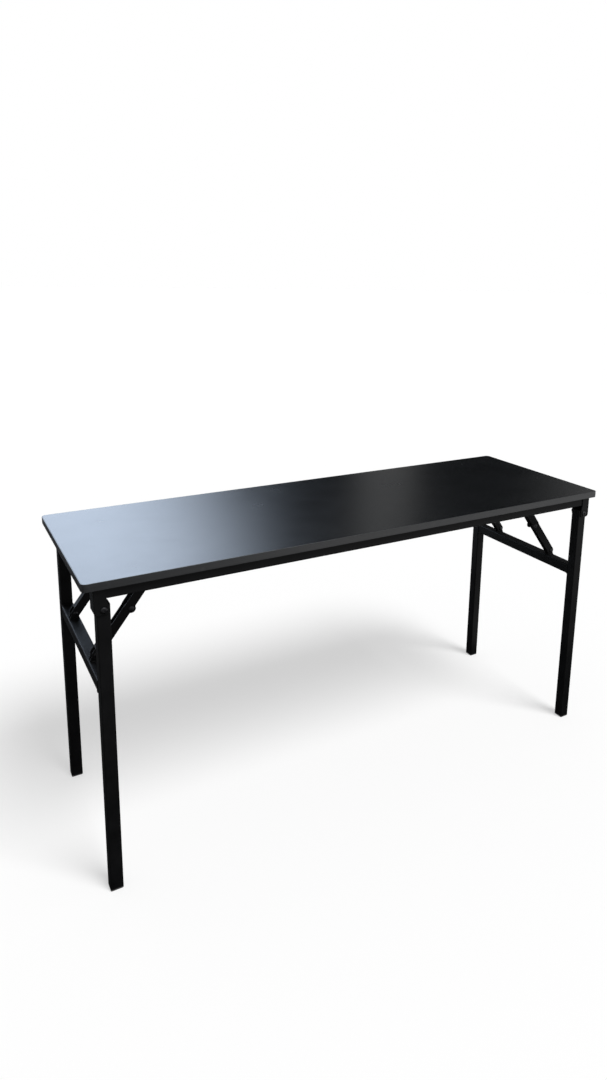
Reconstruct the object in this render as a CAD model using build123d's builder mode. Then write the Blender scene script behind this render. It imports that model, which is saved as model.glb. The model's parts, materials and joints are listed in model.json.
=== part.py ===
from build123d import *

import os
from math import cos, radians, sin

# Folding table: laminated top on a steel tube frame, with two leg frames that fold flat under it.
# The origin is on the floor under the middle of the top, and sizes are in millimetres.
# X runs along the long side, Y along the depth, with the front at -Y, and Z is up.

# Overall size
table_length = 1500.0
table_depth = 500.0
table_height = 750.0

# Top
top_thickness = 18.0
laminate_thickness = 1.0
band_thickness = 2.0
top_corner_radius = 12.0
band_edge_radius = 1.0

# Tube frame under the top
rail_width = 32.0
rail_height = 25.0
rail_wall = 1.5
tube_corner_radius = 3.0
rail_side_inset = 10.0
frame_end_inset = 23.5
cross_rail_gap = 10.0

# Frame screws
screw_radius = 2.5
screw_head_radius = 4.5
screw_head_height = 2.5
screw_bite = 10.0
long_rail_screws = 4
cross_rail_screw_pitch = 200.0

# Leg hinges
leg_end_inset = 44.0
pivot_drop = 23.5
bracket_sheet = 2.5
bracket_below_pivot = 12.0
bracket_past_pivot = 11.5
bracket_slant = 5.0
bracket_corner_radius = 9.0
bolt_radius = 4.0
bolt_head_radius = 7.5
bolt_head_height = 4.0
nut_across_flats = 13.0
nut_height = 6.5
bolt_tail = 2.0

# Legs
leg_size = 29.0
leg_wall = 1.5
leg_above_pivot = 9.5
bush_wall = 1.5
bush_flange_radius = 9.0
bush_gap = 0.3

# Foot caps, pushed up into the legs
cap_floor = 5.0
cap_stem = 20.0
cap_wall = 3.0
cap_bevel = 1.5

# Crossbar between the legs
bar_size = 29.0
bar_drop = 187.0

# Braces
brace_spacing = 236.0
brace_angle = 52.8
brace_sheet = 2.0
brace_gap = 0.5
link_width = 21.5
foot_pivot_inboard = 3.0
foot_pivot_rise = 16.0
elbow_reach = 124.0
elbow_offset = 7.0
ear_radius = 10.0
lower_fork = 60.0
upper_fork = 46.0
fork_round = 6.0
top_pivot_drop = 16.0
lug_width = 14.0
lug_round_radius = 8.0
top_plate_length = 64.0
top_plate_width = 26.0
plate_corner_radius = 5.0
plate_screw_place = 24.0

# Brace pins
pin_radius = 4.0
pin_head_radius = 6.0
pin_head_height = 2.0
stud_radius = 5.0
stud_head_radius = 7.5
stud_head_height = 2.5
head_bevel = 0.6
running_clearance = 0.06
side_clearance = 0.3

# Levels
top_underside = table_height - top_thickness
rail_bottom = top_underside - rail_height
rail_middle = top_underside - rail_height / 2
pivot_z = rail_bottom - pivot_drop
bar_z = pivot_z - bar_drop

# Places along X and Y
rail_y = table_depth / 2 - rail_side_inset - rail_width / 2
bracket_end_x = table_length / 2 - frame_end_inset
rail_end_x = bracket_end_x - bracket_sheet
end_rail_x = rail_end_x - rail_width / 2
pivot_x = table_length / 2 - leg_end_inset
brace_y = brace_spacing / 2

# Brace pivots of the left end, in the plane of a brace
foot_pivot_x = -pivot_x + foot_pivot_inboard
foot_pivot_z = bar_z + bar_size / 2 + foot_pivot_rise
top_pivot_z = top_underside - top_pivot_drop
brace_length = (top_pivot_z - foot_pivot_z) / sin(radians(brace_angle))
top_pivot_x = foot_pivot_x + brace_length * cos(radians(brace_angle))

# Middle of the cross rails, inboard of the brackets under the top
cross_rail_x = -top_pivot_x - top_plate_length / 2 - cross_rail_gap - rail_width / 2

# Half widths of the nested brace pieces, measured from the plane of a brace
lug_half = lug_width / 2
lower_inner = lug_half + brace_gap
lower_outer = lower_inner + brace_sheet
upper_inner = lower_outer + brace_gap
upper_outer = upper_inner + brace_sheet
top_lug_half = upper_inner - brace_gap

ends = {"left": 1, "right": -1}
rows = {"front": 1, "rear": -1}


def save(piece, label):
    """Names a finished piece and writes it."""
    piece.part.label = label
    export_step(piece.part, f"parts/{label}.step")


def turned(source, end, row):
    """Copies a front left piece to another corner by reflection."""
    with BuildPart() as copy:
        add(source.part)
        if ends[end] < 0:
            mirror(about=Plane.YZ, mode=Mode.REPLACE)
        if rows[row] < 0:
            mirror(about=Plane.XZ, mode=Mode.REPLACE)
    return copy


def tube(width, height, wall, length, plane):
    """A straight square tube with rounded corners, centred on its plane."""
    with BuildPart() as body:
        with BuildSketch(plane):
            RectangleRounded(width, height, tube_corner_radius)
            RectangleRounded(
                width - 2 * wall, height - 2 * wall, tube_corner_radius - wall / 2, mode=Mode.SUBTRACT
            )
        extrude(amount=length / 2, both=True)
    return body


def fastener(radius, grip, head_radius, head_height, heads):
    """A pin up the Z axis with a bevelled head below its start and, for a rivet, one past its end."""
    with BuildPart() as pin:
        Cylinder(radius, grip, align=(Align.CENTER, Align.CENTER, Align.MIN))
        Cylinder(head_radius, head_height, align=(Align.CENTER, Align.CENTER, Align.MAX))
        chamfer(pin.edges().filter_by(GeomType.CIRCLE).group_by(Axis.Z)[0], head_height * head_bevel)
        if heads == 2:
            with Locations((0, 0, grip)):
                Cylinder(head_radius, head_height, align=(Align.CENTER, Align.CENTER, Align.MIN))
            chamfer(pin.edges().filter_by(GeomType.CIRCLE).group_by(Axis.Z)[-1], head_height * head_bevel)
    return pin


def along_y(x, start, z, sign=1):
    """Turns a piece that stands on the origin to point along Y from a start."""
    return Location((x, start, z), (-90 * sign, 0, 0))


def group(source, places):
    """Several copies of one piece, as separate solids."""
    with BuildPart() as copies:
        with Locations(*places):
            add(source.part)
    return copies


os.makedirs("parts", exist_ok=True)

# Top: core board, laminate face and edge band

core_length = table_length - 2 * band_thickness
core_depth = table_depth - 2 * band_thickness
core_radius = top_corner_radius - band_thickness

# Frame screws: four along each long rail, two in each cross rail
long_screw_pitch = 2 * cross_rail_x / (long_rail_screws - 1)
screw_places = GridLocations(long_screw_pitch, 2 * rail_y, long_rail_screws, 2).locations
screw_places += GridLocations(2 * cross_rail_x, cross_rail_screw_pitch, 2, 2).locations
plate_places = [
    Location((x_sign * (-top_pivot_x) + offset, y_sign * brace_y, 0))
    for x_sign in (-1, 1)
    for y_sign in (-1, 1)
    for offset in (-plate_screw_place, plate_screw_place)
]

with BuildPart() as top_board:
    with BuildSketch(Plane.XY.offset(top_underside)):
        RectangleRounded(core_length, core_depth, core_radius)
    extrude(amount=top_thickness - laminate_thickness)
    with BuildSketch(Plane.XY.offset(top_underside)):
        with Locations(*screw_places, *plate_places):
            Circle(screw_radius)
    extrude(amount=screw_bite, mode=Mode.SUBTRACT)
save(top_board, "top_board")

with BuildPart() as top_laminate:
    with BuildSketch(Plane.XY.offset(table_height - laminate_thickness)):
        RectangleRounded(core_length, core_depth, core_radius)
    extrude(amount=laminate_thickness)
save(top_laminate, "top_laminate")

with BuildPart() as edge_band:
    with BuildSketch(Plane.XY.offset(top_underside)):
        RectangleRounded(table_length, table_depth, top_corner_radius)
    extrude(amount=top_thickness)
    fillet(edge_band.edges().filter_by(Plane.XY), band_edge_radius)
    with BuildSketch(Plane.XY.offset(top_underside)):
        RectangleRounded(core_length, core_depth, core_radius)
    extrude(amount=top_thickness, mode=Mode.SUBTRACT)
save(edge_band, "edge_band")

# Tube frame

end_rail_length = 2 * (rail_y - rail_width / 2 - bracket_sheet)
cross_rail_length = 2 * (rail_y - rail_width / 2)

for row, sign in rows.items():
    plane = Plane(origin=(0, -sign * rail_y, rail_middle), x_dir=(0, 1, 0), z_dir=(1, 0, 0))
    rail = tube(rail_width, rail_height, rail_wall, 2 * rail_end_x, plane)
    with BuildPart() as drilled_rail:
        add(rail.part)
        with Locations(*[place for place in screw_places if place.position.Y * sign < -rail_y / 2]):
            with Locations((0, 0, rail_bottom)):
                Cylinder(screw_radius, rail_height, align=(Align.CENTER, Align.CENTER, Align.MIN),
                         mode=Mode.SUBTRACT)
    save(drilled_rail, f"{row}_rail")

for end, sign in ends.items():
    plane = Plane(origin=(-sign * end_rail_x, 0, rail_middle), x_dir=(1, 0, 0), z_dir=(0, 1, 0))
    end_rail = tube(rail_width, rail_height, rail_wall, end_rail_length, plane)
    save(end_rail, f"{end}_end_rail")

    plane = Plane(origin=(-sign * cross_rail_x, 0, rail_middle), x_dir=(1, 0, 0), z_dir=(0, 1, 0))
    cross_tube = tube(rail_width, rail_height, rail_wall, cross_rail_length, plane)
    with BuildPart() as cross_rail:
        add(cross_tube.part)
        with Locations(*GridLocations(1, cross_rail_screw_pitch, 1, 2).locations):
            with Locations((-sign * cross_rail_x, 0, rail_bottom)):
                Cylinder(screw_radius, rail_height, align=(Align.CENTER, Align.CENTER, Align.MIN),
                         mode=Mode.SUBTRACT)
    save(cross_rail, f"{end}_cross_rail")


frame_screw = fastener(screw_radius, rail_height + screw_bite, screw_head_radius, screw_head_height, 1)
frame_screws = group(frame_screw, [Location((0, 0, rail_bottom)) * place for place in screw_places])
save(frame_screws, "frame_screws")

plate_screw = fastener(screw_radius, brace_sheet + screw_bite, screw_head_radius, screw_head_height, 1)
plate_level = Location((0, 0, top_underside - brace_sheet))
bracket_screws = group(plate_screw, [plate_level * place for place in plate_places])
save(bracket_screws, "bracket_screws")

# Leg hinges at the front left corner, copied to the other corners

bracket_half = rail_width / 2 + bracket_sheet
bracket_inner_x = -pivot_x + bracket_past_pivot
bracket_bottom = pivot_z - bracket_below_pivot

with BuildPart() as hinge_bracket:
    with BuildSketch(Plane.XZ.offset(rail_y)):
        with BuildLine():
            Polyline(
                (-bracket_end_x, top_underside),
                (-bracket_end_x, bracket_bottom),
                (bracket_inner_x, bracket_bottom),
                (bracket_inner_x, pivot_z),
                (bracket_inner_x - bracket_slant, rail_bottom),
                (bracket_inner_x - bracket_slant, top_underside),
                close=True,
            )
        make_face()
    extrude(amount=bracket_half, both=True)
    fillet(
        hinge_bracket.edges().filter_by(Axis.Y).group_by(Axis.Z)[0],
        bracket_corner_radius,
    )
    fillet(
        hinge_bracket.edges().filter_by(Axis.Z).group_by(Axis.X)[0],
        bracket_sheet,
    )
    with BuildSketch(Plane.XY.offset(bracket_bottom)):
        with Locations((-rail_end_x, -rail_y)):
            Rectangle(table_length / 2, rail_width, align=(Align.MIN, Align.CENTER))
    extrude(amount=top_underside - bracket_bottom, mode=Mode.SUBTRACT)
    with Locations(Plane(origin=(-pivot_x, -rail_y, pivot_z), z_dir=(0, 1, 0))):
        Cylinder(bolt_radius, 4 * bracket_half, mode=Mode.SUBTRACT)

bolt_length = 2 * bracket_half + nut_height + bolt_tail
bolt = fastener(bolt_radius, bolt_length, bolt_head_radius, bolt_head_height, 1)
hinge_bolt = group(bolt, [along_y(-pivot_x, -rail_y - bracket_half, pivot_z)])

with BuildPart() as hinge_nut:
    with BuildSketch(Plane(origin=(-pivot_x, -rail_y + bracket_half, pivot_z), z_dir=(0, 1, 0))):
        RegularPolygon(nut_across_flats / 2, 6, major_radius=False)
        Circle(bolt_radius, mode=Mode.SUBTRACT)
    extrude(amount=nut_height)

# Flanged bush on each side wall of a leg, with the bolt running in it
bush_radius = bolt_radius + running_clearance + bush_wall
bush_flange = rail_width / 2 - leg_size / 2 - bush_gap

with BuildPart() as pivot_bushes:
    for side in (-1, 1):
        outer_face = Plane(
            origin=(-pivot_x, -rail_y + side * leg_size / 2, pivot_z), x_dir=(1, 0, 0), z_dir=(0, side, 0)
        )
        with BuildSketch(outer_face):
            Circle(bush_flange_radius)
            Circle(bolt_radius + running_clearance, mode=Mode.SUBTRACT)
        extrude(amount=bush_flange)
        with BuildSketch(outer_face):
            Circle(bush_radius)
            Circle(bolt_radius + running_clearance, mode=Mode.SUBTRACT)
        extrude(amount=-leg_wall * 2)

# Leg, foot cap and crossbar

leg_bottom = cap_floor
leg_top = pivot_z + leg_above_pivot
leg_middle = (leg_bottom + leg_top) / 2

leg_tube = tube(
    leg_size, leg_size, leg_wall, leg_top - leg_bottom, Plane(origin=(-pivot_x, -rail_y, leg_middle))
)
with BuildPart() as leg:
    add(leg_tube.part)
    with Locations(Plane(origin=(-pivot_x, -rail_y, pivot_z), z_dir=(0, 1, 0))):
        Cylinder(bush_radius, 2 * leg_size, mode=Mode.SUBTRACT)

leg_bore = leg_size - 2 * leg_wall
with BuildPart() as foot_cap:
    with BuildSketch(Plane(origin=(-pivot_x, -rail_y, 0))):
        RectangleRounded(leg_size, leg_size, tube_corner_radius)
    extrude(amount=cap_floor)
    chamfer(foot_cap.faces().sort_by(Axis.Z)[0].edges(), cap_bevel)
    with BuildSketch(Plane(origin=(-pivot_x, -rail_y, cap_floor))):
        RectangleRounded(leg_bore, leg_bore, tube_corner_radius - leg_wall / 2)
        Rectangle(leg_bore - 2 * cap_wall, leg_bore - 2 * cap_wall, mode=Mode.SUBTRACT)
    extrude(amount=cap_stem)

for end, sign in ends.items():
    plane = Plane(origin=(-sign * pivot_x, 0, bar_z), x_dir=(1, 0, 0), z_dir=(0, 1, 0))
    crossbar = tube(bar_size, bar_size, leg_wall, 2 * (rail_y - leg_size / 2), plane)
    save(crossbar, f"{end}_crossbar")

# Braces of the front left corner, drawn in the plane of the brace.
# Along the brace is local X from the foot pivot, and local Y points to the leg and up.

brace_plane = Plane(
    origin=(foot_pivot_x, -brace_y, foot_pivot_z),
    x_dir=(cos(radians(brace_angle)), 0, sin(radians(brace_angle))),
    z_dir=(0, -1, 0),
)
elbow = (elbow_reach, -elbow_offset)
link_reach = link_width + elbow_offset + ear_radius


def channel(outline, inner, outer, web_start, web_end):
    """Folds a plate outline into a channel whose web, at its back, covers only part of its length."""
    with BuildPart() as body:
        with BuildSketch(brace_plane):
            add(outline)
        extrude(amount=outer, both=True)
        with BuildSketch(brace_plane):
            with Locations(((web_start + web_end) / 2, link_width / 2 - brace_sheet)):
                Rectangle(4 * brace_length, link_reach * 2, align=(Align.CENTER, Align.MAX))
            with Locations((web_start, 0)):
                Rectangle(2 * brace_length, link_reach * 2, align=(Align.MAX, Align.CENTER))
            with Locations((web_end, 0)):
                Rectangle(2 * brace_length, link_reach * 2, align=(Align.MIN, Align.CENTER))
        extrude(amount=inner, both=True, mode=Mode.SUBTRACT)
    return body


# Lower link: rounded foot, straight flanges, and an ear for the elbow on its open edge
with BuildSketch() as lower_outline:
    with Locations((elbow_reach / 2, 0)):
        Rectangle(elbow_reach, link_width)
    with Locations((0, 0), (elbow_reach, 0)):
        Circle(link_width / 2)
    with Locations(elbow):
        Circle(ear_radius - brace_gap)
    ear_corner = (elbow_reach - ear_radius, -link_width / 2)
    fillet(lower_outline.vertices().sort_by_distance(ear_corner)[0], fork_round)

lower_body = channel(
    lower_outline.sketch, lower_inner, lower_outer, link_width / 2, elbow_reach - lower_fork
)
with BuildPart() as lower_link:
    add(lower_body.part)
    with Locations(brace_plane):
        Cylinder(pin_radius + running_clearance, 4 * lower_outer, mode=Mode.SUBTRACT)
        with Locations(elbow):
            Cylinder(stud_radius + side_clearance, 4 * lower_outer, mode=Mode.SUBTRACT)

# Upper link: takes the end of the lower link between its flanges, and turns on the top pin
upper_length = brace_length - elbow_reach
with BuildSketch() as upper_outline:
    with Locations((elbow_reach + upper_length / 2, 0)):
        Rectangle(upper_length, link_width)
    with Locations((elbow_reach, 0), (brace_length, 0)):
        Circle(link_width / 2)
    with Locations(elbow):
        Circle(ear_radius)

upper_body = channel(
    upper_outline.sketch,
    upper_inner,
    upper_outer,
    elbow_reach + upper_fork,
    brace_length - link_width,
)
with BuildPart() as upper_link:
    add(upper_body.part)
    with Locations(brace_plane):
        with Locations((brace_length, 0)):
            Cylinder(pin_radius + running_clearance, 4 * upper_outer, mode=Mode.SUBTRACT)
        with Locations(elbow):
            Cylinder(stud_radius, 4 * upper_outer, mode=Mode.SUBTRACT)

# Lug that stands on the crossbar and carries the foot pin
bar_top = bar_z + bar_size / 2
lug_base = bar_size - 2 * tube_corner_radius
with BuildPart() as brace_lug:
    with BuildSketch(Plane.XZ.offset(brace_y)):
        with Locations((-pivot_x, bar_top)):
            Rectangle(lug_base, brace_sheet, align=(Align.CENTER, Align.MIN))
        with Locations((foot_pivot_x, foot_pivot_z)):
            Circle(lug_round_radius)
        make_hull()
    extrude(amount=lug_half, both=True)
    with BuildSketch(Plane.XY.offset(bar_top + brace_sheet)):
        with Locations((-pivot_x, -brace_y)):
            Rectangle(2 * bar_size + 4 * lug_round_radius, lug_width - 2 * brace_sheet)
    extrude(amount=link_width + foot_pivot_rise, mode=Mode.SUBTRACT)
    with Locations(brace_plane):
        Cylinder(pin_radius, 2 * lug_width, mode=Mode.SUBTRACT)

# Bracket screwed under the top, which carries the top pin
with BuildPart() as top_bracket:
    with BuildSketch(Plane.XZ.offset(brace_y)):
        with Locations((top_pivot_x, top_pivot_z)):
            Circle(lug_round_radius)
            Rectangle(2 * lug_round_radius, top_pivot_drop, align=(Align.CENTER, Align.MIN))
    extrude(amount=top_lug_half, both=True)
    with BuildSketch(Plane.XY.offset(top_pivot_z - 2 * lug_round_radius)):
        with Locations((top_pivot_x, -brace_y)):
            Rectangle(4 * lug_round_radius, 2 * (top_lug_half - brace_sheet))
    extrude(amount=top_pivot_drop + 2 * lug_round_radius - brace_sheet, mode=Mode.SUBTRACT)
    with BuildSketch(Plane.XY.offset(top_underside)):
        with Locations((top_pivot_x, -brace_y)):
            RectangleRounded(top_plate_length, top_plate_width, plate_corner_radius)
    extrude(amount=-brace_sheet)
    with BuildSketch(Plane.XY.offset(top_underside)):
        with Locations((top_pivot_x, -brace_y)):
            with GridLocations(2 * plate_screw_place, 1, 2, 1):
                Circle(screw_radius)
    extrude(amount=-brace_sheet, mode=Mode.SUBTRACT)
    with Locations(Plane(origin=(top_pivot_x, -brace_y, top_pivot_z), z_dir=(0, 1, 0))):
        Cylinder(pin_radius, 4 * top_lug_half, mode=Mode.SUBTRACT)

# Pins and elbow studs
foot_grip = lower_outer + side_clearance
foot_rivet = fastener(pin_radius, 2 * foot_grip, pin_head_radius, pin_head_height, 2)
foot_pin = group(foot_rivet, [along_y(foot_pivot_x, -brace_y - foot_grip, foot_pivot_z)])

top_grip = upper_outer + side_clearance
top_rivet = fastener(pin_radius, 2 * top_grip, pin_head_radius, pin_head_height, 2)
top_pin = group(top_rivet, [along_y(top_pivot_x, -brace_y - top_grip, top_pivot_z)])

elbow_place = brace_plane.from_local_coords((*elbow, 0))

stud = fastener(stud_radius, brace_sheet, stud_head_radius, stud_head_height, 1)
elbow_studs = group(
    stud,
    [along_y(elbow_place.X, -brace_y - side * upper_outer, elbow_place.Z, side) for side in (-1, 1)],
)

# Pieces of each corner
corner_pieces = {
    "hinge_bracket": hinge_bracket,
    "leg": leg,
    "foot_cap": foot_cap,
    "brace_lug": brace_lug,
    "lower_link": lower_link,
    "upper_link": upper_link,
    "top_bracket": top_bracket,
    "elbow_studs": elbow_studs,
}
for end in ends:
    for row in rows:
        for name, source in corner_pieces.items():
            save(turned(source, end, row), f"{end}_{row}_{name}")

# Fasteners and bushes of each end, front and rear together
end_groups = {
    "hinge_bolts": hinge_bolt,
    "hinge_nuts": hinge_nut,
    "pivot_bushes": pivot_bushes,
    "foot_pins": foot_pin,
    "top_pins": top_pin,
}
for end in ends:
    for name, source in end_groups.items():
        with BuildPart() as both_rows:
            for row in rows:
                add(turned(source, end, row).part)
        save(both_rows, f"{end}_{name}")
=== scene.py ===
import json
import math

import bmesh
import bpy
from mathutils import Matrix, Vector


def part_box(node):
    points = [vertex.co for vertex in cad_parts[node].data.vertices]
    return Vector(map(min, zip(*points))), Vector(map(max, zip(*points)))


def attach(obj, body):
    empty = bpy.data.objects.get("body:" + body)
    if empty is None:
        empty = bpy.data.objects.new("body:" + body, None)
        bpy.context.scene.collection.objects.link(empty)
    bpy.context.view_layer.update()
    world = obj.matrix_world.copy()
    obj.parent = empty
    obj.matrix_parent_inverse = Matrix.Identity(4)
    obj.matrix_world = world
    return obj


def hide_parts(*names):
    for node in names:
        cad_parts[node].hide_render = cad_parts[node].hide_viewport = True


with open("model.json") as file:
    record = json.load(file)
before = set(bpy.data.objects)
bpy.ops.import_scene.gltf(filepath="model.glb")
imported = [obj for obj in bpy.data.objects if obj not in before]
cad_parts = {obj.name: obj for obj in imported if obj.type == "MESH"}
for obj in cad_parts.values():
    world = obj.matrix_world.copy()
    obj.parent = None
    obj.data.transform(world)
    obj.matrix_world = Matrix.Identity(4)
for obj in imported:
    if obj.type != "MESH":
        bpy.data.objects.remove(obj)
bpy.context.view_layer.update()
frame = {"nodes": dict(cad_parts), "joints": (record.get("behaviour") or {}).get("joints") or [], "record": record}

# Sizes and places are in metres, unless their names say otherwise

# Picture and camera
picture_width_px = 607
picture_height_px = 1080
focal_length_px = 744.78
axis_x_px = 348.30
axis_y_px = 431.80
camera_place = (-1.00985, -1.72596, 1.37558)
camera_azimuth = math.radians(30.769)
camera_dip = math.radians(11.953)
camera_roll = math.radians(1.244)
sensor_size_mm = 36.0

# Stage
floor_half_size = 60.0
floor_colour = (0.93, 0.93, 0.93)
floor_bounce_colour = (0.40, 0.40, 0.40)
floor_glow = 0.5
sky_strength = 0.35
sun_strength = 2.75
sun_angle = math.radians(26)
sun_tilt = (math.radians(30), math.radians(14), 0)

# What the gloss sees behind the table: a wall with a window at its left, a pale door and a pale far end
window_strength = (3.2, 5.6)
window_heights = (1.9, 2.62)
window_colour = (0.70, 0.82, 1.0)
window_edge = (0.20, 1.79)
window_lean = (-0.25, 0.25)
door_tone = 0.057
door_left_edge = (2.45, 2.7)
door_right_edge = (3.1, 3.35)
far_tone = 0.05
far_edge = (4.7, 6.3)
wall_y = 4.1
wall_left = -3.0
wall_right = 8.0
wall_bottom = 0.02
wall_top = 9.0

# What the gloss sees on the floor: dark cards of painted shade beside and under the table, where its shadow falls,
# and a glowing card of painted reflection in front of it, which grows away from the table
# Each area is left, front, right, back
reflected_shade_areas = ((-2.6, -0.24, -0.73, 4.0), (-0.73, -0.24, 0.76, 1.2))
reflected_shade_glow = 0.03
# Painted reflection of lit floor, with painted shade near the table and at the left
front_area = (-5.0, -5.0, 8.0, -0.24)
front_glow = (0.5, 2.0)
front_glow_x = (-0.3, 0.7)
front_fade_y = (-1.75, -0.55)
card_height = 0.004

# Turned shapes
turned_sides = 36
dome_steps = 7
rim_bevel = 0.0003
sharp_angle = math.radians(40)

# Hinge bolts and nuts
bolt_radius = 0.004
bolt_length = 0.0455
bolt_head_side_share = 0.25
thread_pitch = 0.00125
thread_depth = 0.0005
thread_turns = 3
socket_rim_radius = 0.0038
socket_half_width = 0.0025
socket_depth = 0.0024
nut_half_width = 0.0065
nut_height = 0.0065
nut_chamfer = 0.0009
nut_collar_radius = 0.0056
nut_collar_height = 0.0016
nut_collar_bevel = 0.0006

# Rivets and elbow studs
pin_radius = 0.004
pin_head_radius = 0.006
pin_head_height = 0.002
stud_radius = 0.005
stud_head_height = 0.0025
link_sheet = 0.002

# Screws
screw_sides = 48
screw_radius = 0.0025
screw_tip_share = 0.4
screw_tip_length = 0.0012
screw_taper_length = 0.003
screw_head_radius = 0.0045
screw_head_height = 0.0025
screw_head_side = 0.0007
screw_crown_share = 0.72
screw_crown_steps = 4
recess_reach = 0.0027
recess_half_width = 0.0006
recess_depth = 0.0014
long_rail_screws = 4
cross_rail_screw_pitch = 0.200
plate_screw_place = 0.024

# Welds
weld_radius = 0.0021
weld_pitch = 0.0026
weld_ripple = 0.16
weld_lag = 0.28
weld_end_share = 0.45
weld_steps = 5
weld_nearly_y = 0.9
weld_sides = 10
weld_sharp_angle = math.radians(75)
tube_corner_radius = 0.003
tube_corner_steps = 4

# Names of the table's ends and sides, with their direction along X and Y
ends = {"left": -1, "right": 1}
rows = {"front": -1, "rear": 1}

# The colour sockets of a mix node, which share their names with its other sockets
mix_first = 6
mix_second = 7
mix_result = 2


def node(tree, kind, inputs=None, **settings):
    """Adds a shader node, with its settings, and links or sets its inputs."""
    made = tree.nodes.new(kind)
    for key, value in settings.items():
        setattr(made, key, value)
    for key, value in (inputs or {}).items():
        if isinstance(value, bpy.types.NodeSocket):
            tree.links.new(value, made.inputs[key])
        else:
            made.inputs[key].default_value = value
    return made


def blank(name, **sockets):
    """A new material, its node tree, its shader and the object's own coordinates."""
    made = bpy.data.materials.new(name)
    made.use_nodes = True
    tree = made.node_tree
    shader = tree.nodes["Principled BSDF"]
    for key, value in sockets.items():
        shader.inputs[key.replace("_", " ")].default_value = value
    place = node(tree, "ShaderNodeTexCoord").outputs["Object"]
    return made, tree, shader, place


def feed(tree, shader, **sockets):
    """Links values to the shader's sockets."""
    for key, value in sockets.items():
        tree.links.new(value, shader.inputs[key.replace("_", " ")])


def noise(tree, place, scale, detail=2.0, roughness=0.5, stretch=None):
    """A noise value at the given scale, in repeats per metre."""
    if stretch:
        place = node(tree, "ShaderNodeMapping", {"Vector": place, "Scale": stretch}).outputs["Vector"]
    settings = {"Vector": place, "Scale": scale, "Detail": detail, "Roughness": roughness}
    return node(tree, "ShaderNodeTexNoise", settings).outputs["Fac"]


def between(tree, value, low, high, start=0.0, end=1.0, curve="LINEAR"):
    """Maps a value from start and end to low and high, held at both ends."""
    settings = {"Value": value, "From Min": start, "From Max": end, "To Min": low, "To Max": high}
    return node(tree, "ShaderNodeMapRange", settings, interpolation_type=curve).outputs["Result"]


def combined(tree, operation, first, second):
    """Two values put together by a named operation."""
    return node(tree, "ShaderNodeMath", {0: first, 1: second}, operation=operation).outputs[0]


def mixed(tree, amount, first, second):
    """Blends two colours."""
    made = node(tree, "ShaderNodeMix", data_type="RGBA")
    tree.links.new(amount, made.inputs["Factor"])
    for socket, colour in ((made.inputs[mix_first], first), (made.inputs[mix_second], second)):
        if isinstance(colour, bpy.types.NodeSocket):
            tree.links.new(colour, socket)
        else:
            socket.default_value = (*colour, 1)
    return made.outputs[mix_result]


def faded(tree, value, first, second, start, end, most=1.0):
    """Goes from one colour towards another as a value goes from start to end."""
    return mixed(tree, between(tree, value, 0, most, start, end), first, second)


def bump(tree, shader, height, strength, distance):
    """Sets the shader's surface relief."""
    relief = node(tree, "ShaderNodeBump", {"Height": height, "Strength": strength, "Distance": distance})
    feed(tree, shader, Normal=relief.outputs["Normal"])


def laminate_material():
    """Black laminate with soft gloss, faint clouding, fine scratches and dust."""
    dark = (0.0034, 0.0040, 0.0046)
    light = (0.0056, 0.0062, 0.0068)
    scratched = (0.12, 0.13, 0.14)
    dusty = (0.20, 0.21, 0.22)
    made, tree, shader, place = blank("black_laminate", IOR=1.5)
    cloud = noise(tree, place, scale=2.4, detail=4)
    smudge = noise(tree, place, scale=11.0, detail=5, roughness=0.6)
    dust = noise(tree, place, scale=420.0, detail=1)
    scratch = noise(tree, place, scale=60.0, roughness=0.6, stretch=(1.0, 14.0, 1.0))
    grain = noise(tree, place, scale=700.0)
    ground = faded(tree, cloud, dark, light, start=0.35, end=0.65)
    marked = faded(tree, scratch, ground, scratched, start=0.66, end=0.78, most=0.10)
    specked = faded(tree, dust, marked, dusty, start=0.735, end=0.80, most=0.45)
    gloss = between(tree, smudge, 0.235, 0.275, start=0.3, end=0.7)
    feed(tree, shader, Base_Color=specked, Roughness=gloss)
    bump(tree, shader, grain, strength=0.05, distance=0.0002)
    return made


def band_material():
    """Dark grey edge band with fine mill lines along its length."""
    dark = (0.0120, 0.0128, 0.0142)
    light = (0.0200, 0.0209, 0.0224)
    rubbed = (0.036, 0.037, 0.039)
    made, tree, shader, place = blank("edge_band", IOR=1.48, Specular_IOR_Level=0.29)
    lines = noise(tree, place, scale=9.0, detail=4, roughness=0.6, stretch=(1.0, 1.0, 60.0))
    wear = noise(tree, place, scale=34.0, detail=4, roughness=0.65)
    ground = faded(tree, lines, dark, light, start=0.3, end=0.7)
    worn = faded(tree, wear, ground, rubbed, start=0.62, end=0.75, most=0.5)
    gloss = between(tree, lines, 0.28, 0.38, start=0.3, end=0.7)
    feed(tree, shader, Base_Color=worn, Roughness=gloss)
    bump(tree, shader, lines, strength=0.12, distance=0.0004)
    return made


def backing_material():
    """Underside of the board: a dark resin sheet with a fibrous print."""
    dark = (0.014, 0.013, 0.012)
    light = (0.026, 0.024, 0.022)
    pale = (0.040, 0.037, 0.034)
    made, tree, shader, place = blank("particle_board", Specular_IOR_Level=0.3)
    fibre = noise(tree, place, scale=120.0, detail=4, roughness=0.6, stretch=(0.15, 1.0, 1.0))
    stain = noise(tree, place, scale=5.0, detail=4)
    ground = faded(tree, fibre, dark, light, start=0.35, end=0.65)
    stained = faded(tree, stain, ground, pale, start=0.5, end=0.75, most=0.4)
    feed(tree, shader, Base_Color=stained, Roughness=between(tree, fibre, 0.6, 0.78))
    bump(tree, shader, fibre, strength=0.15, distance=0.0004)
    return made


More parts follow.
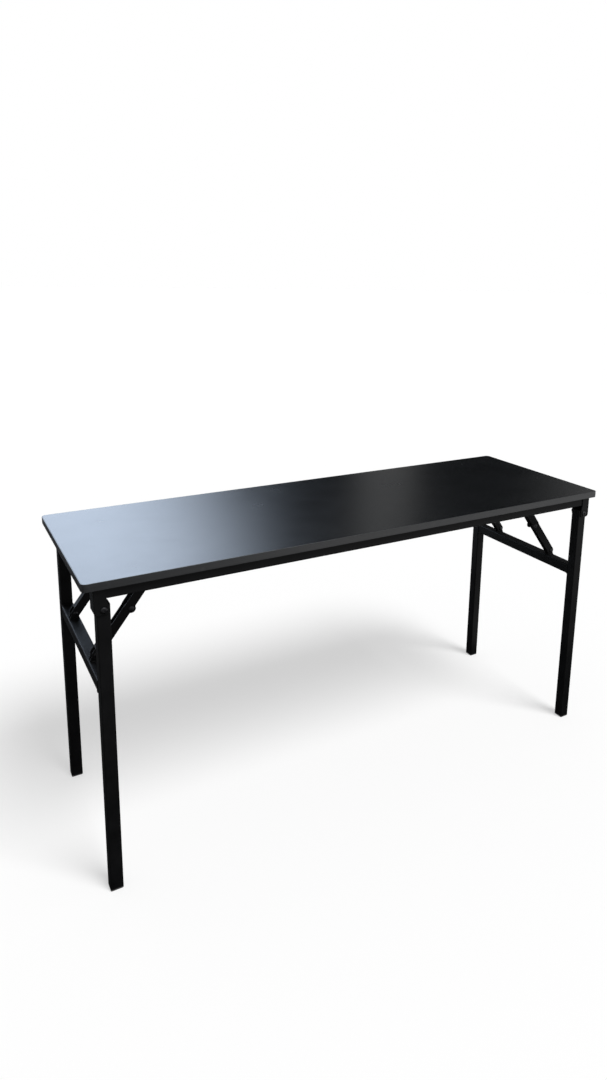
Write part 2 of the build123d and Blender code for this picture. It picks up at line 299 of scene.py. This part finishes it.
def paint_material():
    """Black powder coat with a fine orange peel and a few worn spots."""
    dark = (0.0029, 0.0030, 0.0032)
    light = (0.0052, 0.0053, 0.0057)
    chipped = (0.060, 0.060, 0.062)
    made, tree, shader, place = blank("black_powder_coat", Specular_IOR_Level=0.07)
    peel = noise(tree, place, scale=520.0)
    cloud = noise(tree, place, scale=16.0, detail=4, roughness=0.6)
    chips = noise(tree, place, scale=130.0, detail=3, roughness=0.6)
    ground = faded(tree, cloud, dark, light, start=0.35, end=0.65)
    worn = faded(tree, chips, ground, chipped, start=0.74, end=0.80, most=0.6)
    gloss = between(tree, cloud, 0.44, 0.54, start=0.3, end=0.7)
    feed(tree, shader, Base_Color=worn, Roughness=gloss)
    bump(tree, shader, peel, strength=0.16, distance=0.0004)
    return made


def hardware_material():
    """Dark zinc on bolts, rivets and screws."""
    dark = (0.012, 0.012, 0.013)
    light = (0.028, 0.028, 0.030)
    made, tree, shader, place = blank("dark_hardware", Metallic=1.0)
    cloud = noise(tree, place, scale=190.0, detail=4, roughness=0.6)
    ground = faded(tree, cloud, dark, light, start=0.35, end=0.65)
    gloss = between(tree, cloud, 0.28, 0.46, start=0.3, end=0.7)
    feed(tree, shader, Base_Color=ground, Roughness=gloss)
    bump(tree, shader, cloud, strength=0.08, distance=0.0003)
    return made


def rubber_material():
    """Black moulded foot cap, scuffed grey near the floor."""
    dark = (0.020, 0.020, 0.021)
    scuffed = (0.075, 0.073, 0.070)
    made, tree, shader, place = blank("foot_rubber", Specular_IOR_Level=0.3)
    grain = noise(tree, place, scale=620.0)
    scuff = noise(tree, place, scale=85.0, detail=4, roughness=0.65)
    height = node(tree, "ShaderNodeSeparateXYZ", {"Vector": place}).outputs["Z"]
    nearness = between(tree, height, 0.55, 0.08, start=0.001, end=0.012)
    patches = between(tree, scuff, 0, 1, start=0.45, end=0.7)
    ground = mixed(tree, combined(tree, "MULTIPLY", patches, nearness), dark, scuffed)
    feed(tree, shader, Base_Color=ground, Roughness=between(tree, scuff, 0.55, 0.75))
    bump(tree, shader, grain, strength=0.12, distance=0.0003)
    return made


def nylon_material():
    """Black nylon of the pivot bushes."""
    dark = (0.010, 0.010, 0.011)
    light = (0.018, 0.018, 0.019)
    made, tree, shader, place = blank("bush_plastic", Specular_IOR_Level=0.4)
    cloud = noise(tree, place, scale=260.0, detail=3)
    ground = faded(tree, cloud, dark, light, start=0.35, end=0.65)
    feed(tree, shader, Base_Color=ground, Roughness=between(tree, cloud, 0.42, 0.55))
    bump(tree, shader, cloud, strength=0.06, distance=0.0002)
    return made


materials = {
    "black_laminate": laminate_material(),
    "edge_band": band_material(),
    "particle_board": backing_material(),
    "black_powder_coat": paint_material(),
    "dark_hardware": hardware_material(),
    "foot_rubber": rubber_material(),
    "bush_plastic": nylon_material(),
}


def dress_nodes():
    """Gives every node of the model the material of its slot."""
    for subpart in frame["record"]["subparts"]:
        shown = frame["nodes"][subpart["node"]]
        shown.data.materials.clear()
        shown.data.materials.append(materials[subpart["material_slot"]])


def add_piece(name, shape, slot, body, replaced=(), sharp=sharp_angle):
    """Turns a bmesh into a piece with the slot's material, which rides on a body."""
    bmesh.ops.recalc_face_normals(shape, faces=shape.faces)
    mesh = bpy.data.meshes.new(name)
    shape.to_mesh(mesh)
    shape.free()
    mesh.shade_smooth()
    mesh.set_sharp_from_angle(angle=sharp)
    mesh.materials.append(materials[slot])
    made = bpy.data.objects.new(name, mesh)
    bpy.context.scene.collection.objects.link(made)
    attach(made, body)
    if replaced:
        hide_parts(*replaced)


def aimed(point, direction):
    """The place of something turned about Z, set at a point with its Z along a direction."""
    turn = Vector((0, 0, 1)).rotation_difference(Vector(direction))
    return Matrix.Translation(point) @ turn.to_matrix().to_4x4()


def hexagon(half_width):
    """The radius of a hexagon at an angle."""
    return lambda angle: half_width / math.cos(angle % (math.pi / 3) - math.pi / 6)


def cross(reach, half_width):
    """The radius of a cross at an angle."""
    def radius(angle):
        lean = abs((angle + math.pi / 4) % (math.pi / 2) - math.pi / 4)
        if math.tan(lean) * reach < half_width:
            return reach / math.cos(lean)
        return half_width / math.sin(lean)
    return radius


def dome(radius, low, high, inner=0.0, steps=dome_steps):
    """Profile points from a rim up a dome to an inner radius."""
    sweep = math.acos(inner / radius)
    points = []
    for step in range(steps):
        angle = sweep * step / steps
        points.append((radius * math.cos(angle), low + (high - low) * math.sin(angle) / math.sin(sweep)))
    return [*points, (inner, high)]


def turned(shape, profile, place, sides=turned_sides, closed=False):
    """Turns a profile of radius and height about Z; a radius may depend on the angle."""
    rings = []
    for radius, height in profile:
        if radius == 0:
            rings.append([shape.verts.new(place @ Vector((0, 0, height)))])
            continue
        ring = []
        for step in range(sides):
            angle = 2 * math.pi * step / sides
            reach = radius(angle) if callable(radius) else radius
            point = Vector((reach * math.cos(angle), reach * math.sin(angle), height))
            ring.append(shape.verts.new(place @ point))
        rings.append(ring)
    if closed:
        rings.append(rings[0])
    for low, high in zip(rings, rings[1:]):
        for step in range(sides):
            after = (step + 1) % sides
            below = [low[step % len(low)], low[after % len(low)]]
            above = [high[after % len(high)], high[step % len(high)]]
            shape.faces.new(list(dict.fromkeys(below + above)))


def domed_head(radius, height):
    """Profile of a rivet head that stands on height zero."""
    return [(radius - rim_bevel, 0), (radius, rim_bevel), *dome(radius, 2 * rim_bevel, height)]


def joint_place(name):
    """The X and Z of a joint."""
    found = next(joint for joint in frame["joints"] if joint["name"] == name)
    return found["pos_m"][0], found["pos_m"][2]


def bolt_profile(head_radius, head_height):
    """A threaded bolt below height zero and a button head with a hexagon socket above it."""
    profile = [(0, -bolt_length)]
    for turn in range(thread_turns):
        root = -bolt_length + thread_pitch * (turn + 0.5)
        profile += [(bolt_radius - thread_depth, root), (bolt_radius, root + thread_pitch / 2)]
    profile += [(bolt_radius, 0), (head_radius - rim_bevel, 0), (head_radius, rim_bevel)]
    profile += dome(head_radius, bolt_head_side_share * head_height, head_height, socket_rim_radius)
    socket = hexagon(socket_half_width)
    socket_floor = head_height - socket_depth
    return [*profile, (socket, head_height), (socket, socket_floor), (0, socket_floor - rim_bevel)]


def nut_profile():
    """A hexagon nut with chamfers and a round collar, from its bore out and back."""
    flats = hexagon(nut_half_width)
    shoulder = nut_height - nut_collar_height
    profile = [(bolt_radius, 0), (nut_half_width, 0), (flats, nut_chamfer), (flats, shoulder - nut_chamfer)]
    profile += [(nut_half_width, shoulder), (nut_collar_radius, shoulder)]
    profile += [(nut_collar_radius, nut_height - nut_collar_bevel)]
    return [*profile, (nut_collar_radius - nut_collar_bevel, nut_height), (bolt_radius, nut_height)]


def add_hinge_bolts():
    """Button head bolts with a hexagon socket, and lock nuts with a round collar."""
    for end in ends:
        x, z = joint_place(f"{end}_leg_fold")
        low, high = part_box(f"{end}_hinge_bolts")
        head_radius = (high.z - low.z) / 2
        bolts = bmesh.new()
        nuts = bmesh.new()
        for row, out in rows.items():
            near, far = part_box(f"{end}_{row}_hinge_bracket")
            seat, inner = (near.y, far.y) if out < 0 else (far.y, near.y)
            profile = bolt_profile(head_radius, abs(low.y) - abs(seat))
            turned(bolts, profile, aimed((x, seat, z), (0, out, 0)))
            turned(nuts, nut_profile(), aimed((x, inner, z), (0, -out, 0)), closed=True)
        add_piece(f"{end}_socket_bolts", bolts, "dark_hardware", "table", [f"{end}_hinge_bolts"])
        add_piece(f"{end}_lock_nuts", nuts, "dark_hardware", "table", [f"{end}_hinge_nuts"])


def add_rivets():
    """Domed rivets at the feet and tops of the braces."""
    for end in ends:
        for place, link, body in (("foot", "lower", f"{end}_leg_frame"), ("top", "upper", "table")):
            pins = f"{end}_{place}_pins"
            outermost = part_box(pins)[1].y
            rivets = bmesh.new()
            for row in rows:
                near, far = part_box(f"{end}_{row}_{link}_link")
                middle = (near.y + far.y) / 2
                x, z = joint_place(f"{end}_{row}_{link}_brace_turn")
                grip = outermost - abs(middle) - pin_head_height
                dome_profile = domed_head(pin_head_radius, pin_head_height)
                head = [(radius, grip + height) for radius, height in dome_profile]
                tail = [(radius, -height) for radius, height in reversed(head)]
                profile = [*tail, (pin_radius, -grip), (pin_radius, grip), *head]
                turned(rivets, profile, aimed((x, middle, z), (0, 1, 0)))
            add_piece(f"{end}_{place}_rivets", rivets, "dark_hardware", body, [pins])


def add_studs():
    """Domed studs at the elbows of the braces."""
    for end in ends:
        for row in rows:
            replaced = f"{end}_{row}_elbow_studs"
            low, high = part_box(replaced)
            head = domed_head((high.z - low.z) / 2, stud_head_height)
            profile = [(0, -link_sheet), (stud_radius, -link_sheet), (stud_radius, 0), *head]
            studs = bmesh.new()
            for face, way in ((low.y, -1), (high.y, 1)):
                seat = ((low.x + high.x) / 2, face - way * stud_head_height, (low.z + high.z) / 2)
                turned(studs, profile, aimed(seat, (0, way, 0)))
            body = f"{end}_{row}_upper_brace"
            add_piece(f"{end}_{row}_domed_studs", studs, "dark_hardware", body, [replaced])


def screw(shape, seat, length):
    """A pan head screw that points up, with a cross recess in its head."""
    recess = cross(recess_reach, recess_half_width)
    recess_floor = screw_head_height - recess_depth
    crown = screw_head_radius * screw_crown_share
    profile = [(0, -length), (screw_radius * screw_tip_share, -length + screw_tip_length)]
    profile += [(screw_radius, -length + screw_taper_length), (screw_radius, 0)]
    profile += [(screw_head_radius - rim_bevel, 0), (screw_head_radius, rim_bevel)]
    profile += dome(screw_head_radius, screw_head_side, screw_head_height, crown, screw_crown_steps)
    profile += [(recess, screw_head_height), (recess, recess_floor), (0, recess_floor)]
    turned(shape, profile, aimed(seat, (0, 0, -1)), sides=screw_sides)


def add_screws():
    """Pan head screws along the rails and in the plates of the top brackets."""
    low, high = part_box("frame_screws")
    seat = low.z + screw_head_height
    half_x = high.x - screw_head_radius
    half_y = high.y - screw_head_radius
    half_pitch = cross_rail_screw_pitch / 2
    along = [half_x * (2 * step / (long_rail_screws - 1) - 1) for step in range(long_rail_screws)]
    places = [(x, y) for x in along for y in (-half_y, half_y)]
    places += [(x, y) for x in (-half_x, half_x) for y in (-half_pitch, half_pitch)]
    shape = bmesh.new()
    for x, y in places:
        screw(shape, (x, y, seat), high.z - seat)
    add_piece("frame_pan_screws", shape, "dark_hardware", "table", ["frame_screws"])

    low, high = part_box("bracket_screws")
    seat = low.z + screw_head_height
    shape = bmesh.new()
    for end in ends:
        for row in rows:
            near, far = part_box(f"{end}_{row}_top_bracket")
            for offset in (-plate_screw_place, plate_screw_place):
                screw(shape, ((near.x + far.x) / 2 + offset, (near.y + far.y) / 2, seat), high.z - seat)
    add_piece("bracket_pan_screws", shape, "dark_hardware", "table", ["bracket_screws"])


def weld_points(corners, closed):
    """Points along a weld through its corners, each with the length of the weld up to it."""
    points = []
    travelled = 0.0
    for start, stop in zip(corners, corners[1:] + corners[:1] if closed else corners[1:]):
        length = (stop - start).length
        count = max(2, round(length / weld_pitch * weld_steps))
        for step in range(count):
            points.append((start.lerp(stop, step / count), travelled + length * step / count))
        travelled += length
    if not closed:
        points.append((corners[-1], travelled))
    return points


def weld_across(along):
    """A direction square to the weld's run, along Y where it can be."""
    axis = Vector((0, 1, 0)) if abs(along.y) < weld_nearly_y else Vector((1, 0, 0))
    return (axis - along * axis.dot(along)).normalized()


def bead(shape, corners, closed=False):
    """A rippled weld bead along a run of corner points, with slimmer ends where it isn't closed."""
    points = weld_points([Vector(corner) for corner in corners], closed)
    last = len(points) - 1
    rings = []
    for index, (middle, reached) in enumerate(points):
        before = points[index - 1][0] if index or closed else middle
        after = points[(index + 1) % len(points)][0] if index < last or closed else middle
        along = (after - before).normalized()
        beside = weld_across(along)
        over = along.cross(beside)
        taper = 1.0
        if not closed:
            inward = min(index, last - index) / weld_steps
            taper = min(1.0, weld_end_share + (1 - weld_end_share) * inward)
        size = weld_radius * taper * (1 - weld_ripple * abs(math.sin(math.pi * reached / weld_pitch)))
        ring = []
        for step in range(weld_sides):
            angle = 2 * math.pi * step / weld_sides
            offset = beside * math.cos(angle) + over * math.sin(angle)
            lag = weld_lag * weld_pitch * taper * math.cos(angle) ** 2
            ring.append(shape.verts.new(middle + offset * size - along * lag))
        rings.append(ring)
    for low, high in zip(rings, rings[1:] + rings[:1] if closed else rings[1:]):
        for step in range(weld_sides):
            after = (step + 1) % weld_sides
            shape.faces.new((low[step], low[after], high[after], high[step]))
    if not closed:
        shape.faces.new(rings[0])
        shape.faces.new(rings[-1])


def tube_outline(low, high, y):
    """The rounded outline of a square tube that runs along Y."""
    radius = tube_corner_radius
    points = []
    corners = ((high.x, high.z, 0), (low.x, high.z, 90), (low.x, low.z, 180), (high.x, low.z, 270))
    for x, z, start in corners:
        middle_x = x - math.copysign(radius, x - (low.x + high.x) / 2)
        middle_z = z - math.copysign(radius, z - (low.z + high.z) / 2)
        for step in range(tube_corner_steps + 1):
            angle = math.radians(start + 90 * step / tube_corner_steps)
            points.append((middle_x + radius * math.cos(angle), y, middle_z + radius * math.sin(angle)))
    return points


def add_leg_welds():
    """Weld beads at the ends of the crossbars and at the foot of each lug."""
    for end in ends:
        shape = bmesh.new()
        low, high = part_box(f"{end}_crossbar")
        for y in (low.y, high.y):
            bead(shape, tube_outline(low, high, y), closed=True)
        for row in rows:
            near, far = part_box(f"{end}_{row}_brace_lug")
            for y in (near.y, far.y):
                bead(shape, [(near.x + weld_radius, y, near.z), (far.x - weld_radius, y, near.z)])
        add_piece(f"{end}_leg_welds", shape, "black_powder_coat", f"{end}_leg_frame", sharp=weld_sharp_angle)


def add_frame_welds():
    """Weld beads at the ends of the cross rails and end rails."""
    shape = bmesh.new()
    for end, side in ends.items():
        for rail in ("cross_rail", "end_rail"):
            low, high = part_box(f"{end}_{rail}")
            inner, outer = (low.x, high.x) if side > 0 else (high.x, low.x)
            top = high.z - weld_radius
            bottom = low.z + tube_corner_radius
            for y in (low.y, high.y):
                bead(shape, [(inner, y, top), (inner, y, bottom)])
                bead(shape, [(low.x + tube_corner_radius, y, low.z), (high.x - tube_corner_radius, y, low.z)])
                if rail == "cross_rail":
                    bead(shape, [(outer, y, top), (outer, y, bottom)])
    add_piece("frame_welds", shape, "black_powder_coat", "table", sharp=weld_sharp_angle)


def plane_object(name, corners, material):
    """One flat face through four corners."""
    mesh = bpy.data.meshes.new(name)
    mesh.from_pydata(corners, [], [(0, 1, 2, 3)])
    mesh.materials.append(material)
    made = bpy.data.objects.new(name, mesh)
    bpy.context.scene.collection.objects.link(made)
    return made


def seen_directly(tree):
    """One for rays of the camera, of gloss and of glass, and nought for the rest."""
    rays = node(tree, "ShaderNodeLightPath").outputs
    seen = combined(tree, "MAXIMUM", rays["Is Camera Ray"], rays["Is Glossy Ray"])
    return combined(tree, "MAXIMUM", seen, rays["Is Transmission Ray"])


def make_floor():
    """A pale floor with a soft shadow, which throws less light back at the table than it shows."""
    material, tree, shader = blank("floor", Roughness=1.0, Specular_IOR_Level=0.0)[:3]
    bounced = node(tree, "ShaderNodeLightPath").outputs["Is Diffuse Ray"]
    feed(tree, shader, Base_Color=mixed(tree, bounced, floor_colour, floor_bounce_colour))
    glow = node(tree, "ShaderNodeEmission", {"Color": (1, 1, 1, 1), "Strength": 1.0})
    share = between(tree, seen_directly(tree), 0, floor_glow)
    settings = {0: share, 1: shader.outputs["BSDF"], 2: glow.outputs["Emission"]}
    pale = node(tree, "ShaderNodeMixShader", settings)
    tree.links.new(pale.outputs["Shader"], tree.nodes["Material Output"].inputs["Surface"])
    size = floor_half_size
    corners = [(-size, -size, 0), (size, -size, 0), (size, size, 0), (-size, size, 0)]
    plane_object("floor", corners, material)


def card_material(name, glow=0.0):
    """A dull black material that glows, for a card, with the card's X, Y and Z."""
    made, tree, shader, place = blank(name, Roughness=1.0, Specular_IOR_Level=0.0, Emission_Strength=glow)
    shader.inputs["Base Color"].default_value = (0, 0, 0, 1)
    shader.inputs["Emission Color"].default_value = (1, 1, 1, 1)
    return made, tree, shader, node(tree, "ShaderNodeSeparateXYZ", {"Vector": place}).outputs


def gloss_card(name, corners, material):
    """A flat card of the stage that only the gloss of the table sees."""
    card = plane_object(name, corners, material)
    card.visible_camera = False
    card.visible_diffuse = False
    card.visible_shadow = False


def floor_card(name, area, material):
    """A gloss card just above an area of the floor."""
    left, front, right, back = area
    places = ((left, front), (right, front), (right, back), (left, back))
    gloss_card(name, [(x, y, card_height) for x, y in places], material)


def make_wall():
    """The wall behind the table, brightest in the window at its left."""
    material, tree, shader, parts = card_material("window_wall")
    lean = between(tree, parts["Z"], *window_lean, *window_heights)
    window_x = combined(tree, "SUBTRACT", parts["X"], lean)
    window = between(tree, window_x, 1, 0, *window_edge, curve="SMOOTHSTEP")
    door_left = between(tree, parts["X"], 0, door_tone, *door_left_edge)
    door_right = between(tree, parts["X"], door_tone, 0, *door_right_edge)
    door = combined(tree, "MINIMUM", door_left, door_right)
    far_end = between(tree, parts["X"], 0, far_tone, *far_edge)
    pale = combined(tree, "MAXIMUM", door, far_end)
    strength = between(tree, parts["Z"], *window_strength, *window_heights)
    colour = mixed(tree, window, pale, window_colour)
    feed(tree, shader, Emission_Color=colour, Emission_Strength=strength)
    places = [(wall_left, wall_bottom), (wall_right, wall_bottom)]
    places += [(wall_right, wall_top), (wall_left, wall_top)]
    gloss_card("window_wall", [(x, wall_y, z) for x, z in places], material)


def make_floor_cards():
    """Dark cards of painted shade beside and under the table, and a glowing card of painted reflection on the
    floor in front of it, dimmer near the table and at the left as painted shade.
    """
    # Dark cards that only the gloss sees: painted shade where the table's shadow lies on the floor
    shade_card_material = card_material("painted_shade_card", reflected_shade_glow)[0]
    for index, area in enumerate(reflected_shade_areas):
        floor_card(f"painted_shade_card_{index}", area, shade_card_material)

    # A glowing card that only the gloss sees: a painted reflection of lit floor, faded out near the table and
    # dimmer at the left as painted shade
    material, tree, shader, parts = card_material("front_glow")
    across = between(tree, parts["X"], *front_glow, *front_glow_x)
    away = between(tree, parts["Y"], 1, 0, *front_fade_y)
    feed(tree, shader, Emission_Strength=combined(tree, "MULTIPLY", across, away))
    floor_card("front_glow", front_area, material)


def make_sky():
    """White surroundings that light the table less than they show."""
    world = bpy.data.worlds.new("studio")
    world.use_nodes = True
    tree = world.node_tree
    background = tree.nodes["Background"]
    background.inputs["Color"].default_value = (1, 1, 1, 1)
    feed(tree, background, Strength=between(tree, seen_directly(tree), sky_strength, 1.0))
    bpy.context.scene.world = world


def make_light():
    """A wide soft sun from the front right."""
    sun = bpy.data.lights.new("sun", "SUN")
    sun.energy = sun_strength
    sun.angle = sun_angle
    sun_object = bpy.data.objects.new("sun", sun)
    sun_object.rotation_euler = sun_tilt
    bpy.context.scene.collection.objects.link(sun_object)


def make_camera():
    """The photograph's camera, from its place, direction and principal point."""
    forward = Vector((
        math.sin(camera_azimuth) * math.cos(camera_dip),
        math.cos(camera_azimuth) * math.cos(camera_dip),
        -math.sin(camera_dip),
    ))
    right = Vector((math.cos(camera_azimuth), -math.sin(camera_azimuth), 0))
    up = right.cross(forward)
    rolled_right = right * math.cos(camera_roll) + up * math.sin(camera_roll)
    rolled_up = up * math.cos(camera_roll) - right * math.sin(camera_roll)

    lens = bpy.data.cameras.new("camera")
    lens.sensor_fit = "VERTICAL"
    lens.sensor_height = sensor_size_mm
    lens.lens = focal_length_px * sensor_size_mm / picture_height_px
    lens.shift_x = (picture_width_px / 2 - axis_x_px) / picture_height_px
    lens.shift_y = (axis_y_px - picture_height_px / 2) / picture_height_px
    camera = bpy.data.objects.new("camera", lens)
    turn = Matrix((rolled_right, rolled_up, -forward)).transposed()
    camera.matrix_world = Matrix.Translation(camera_place) @ turn.to_4x4()
    bpy.context.scene.collection.objects.link(camera)
    bpy.context.scene.camera = camera


dress_nodes()
add_hinge_bolts()
add_rivets()
add_studs()
add_screws()
add_leg_welds()
add_frame_welds()
make_floor()
make_wall()
make_floor_cards()
make_sky()
make_light()
make_camera()
bpy.context.scene.view_settings.view_transform = "Standard"
